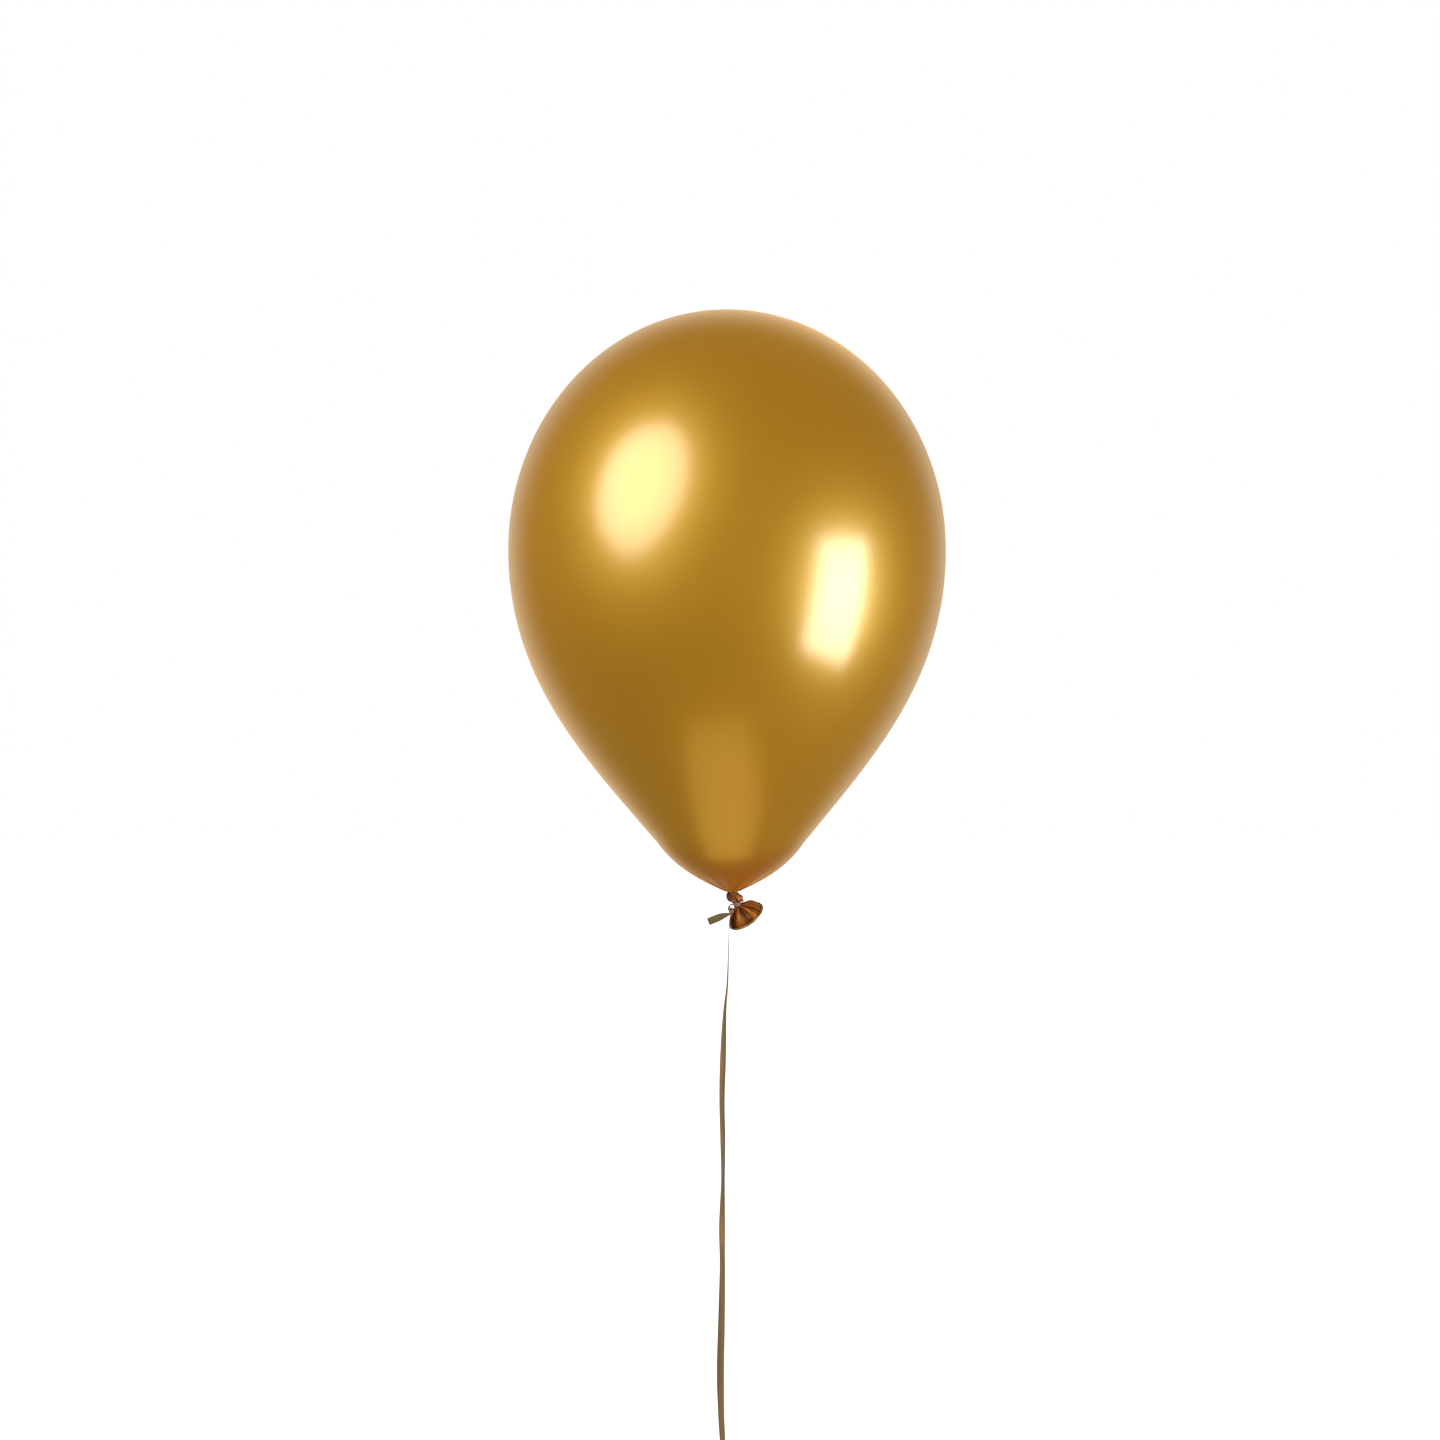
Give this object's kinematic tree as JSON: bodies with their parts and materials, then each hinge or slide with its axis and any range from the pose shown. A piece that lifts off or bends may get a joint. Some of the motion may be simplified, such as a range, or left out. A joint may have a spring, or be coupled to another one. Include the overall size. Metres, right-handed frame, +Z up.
{
  "type": "latex balloon",
  "caption": "Inflated teardrop latex party balloon, knotted at the neck, with a flared mouth and a flat curling ribbon that ends in a hand loop.",
  "frame": {"origin": "middle of the crown, the top of the balloon, on its small flat face", "axes": "+Z up, out of the crown, so the neck, mouth and ribbon hang below in -Z; -Y is the front; the mouth points down to +X and the ribbon's short tail to -X"},
  "size_m": [0.28, 0.28, 0.7933],
  "materials": {
    "gold_latex": "pearl metallic gold latex, stretched thin and glossy",
    "dark_latex": "the same latex unstretched: thicker, darker, orange brown and duller",
    "ribbon": "champagne curling ribbon, finely ribbed polypropylene with a silky sheen"
  },
  "bodies": {
    "balloon": {"envelope": "gold_latex", "neck_knot": "dark_latex"},
    "mouth": {"mouth_skirt": "dark_latex", "mouth_bead": "dark_latex"},
    "tie": {"ribbon_wrap": "ribbon"},
    "tail": {"ribbon_tail": "ribbon"},
    "tie_knot": {"ribbon_knot": "ribbon"},
    "ribbon": {"ribbon_run": "ribbon", "loop_knot": "ribbon", "loop_end": "ribbon"},
    "loop": {"hand_loop": "ribbon"}
  },
  "joints": [
    {"name": "mouth_tilt", "type": "hinge", "parent": "balloon", "child": "mouth", "pos_m": [0.0076, 0, -0.3816], "axis": [0, 1, 0], "range_deg": [-30, 5], "stiffness_Nm_per_rad": 0.0005},
    {"name": "tie_turn", "type": "hinge", "parent": "balloon", "child": "tie", "pos_m": [0.0064, 0, -0.3807], "axis": [0, 0, 1], "range_deg": [-25, 45]},
    {"name": "tail_flick", "type": "hinge", "parent": "tie", "child": "tail", "pos_m": [0.0022, -0.0043, -0.3863], "axis": [0, 1, 0], "range_deg": [-30, 30], "stiffness_Nm_per_rad": 0.000005},
    {"name": "ribbon_rock", "type": "hinge", "parent": "tie", "child": "tie_knot", "pos_m": [0.003, -0.0024, -0.3842], "axis": [1, 0, 0], "range_deg": [-12, 20]},
    {"name": "ribbon_swing", "type": "hinge", "parent": "tie_knot", "child": "ribbon", "pos_m": [0.003, -0.0024, -0.3842], "axis": [0, 1, 0], "range_deg": [-8, 30]},
    {"name": "loop_swing", "type": "hinge", "parent": "ribbon", "child": "loop", "pos_m": [-0.0024, 0, -0.7411], "axis": [0, 1, 0], "range_deg": [-60, 60]}
  ]
}
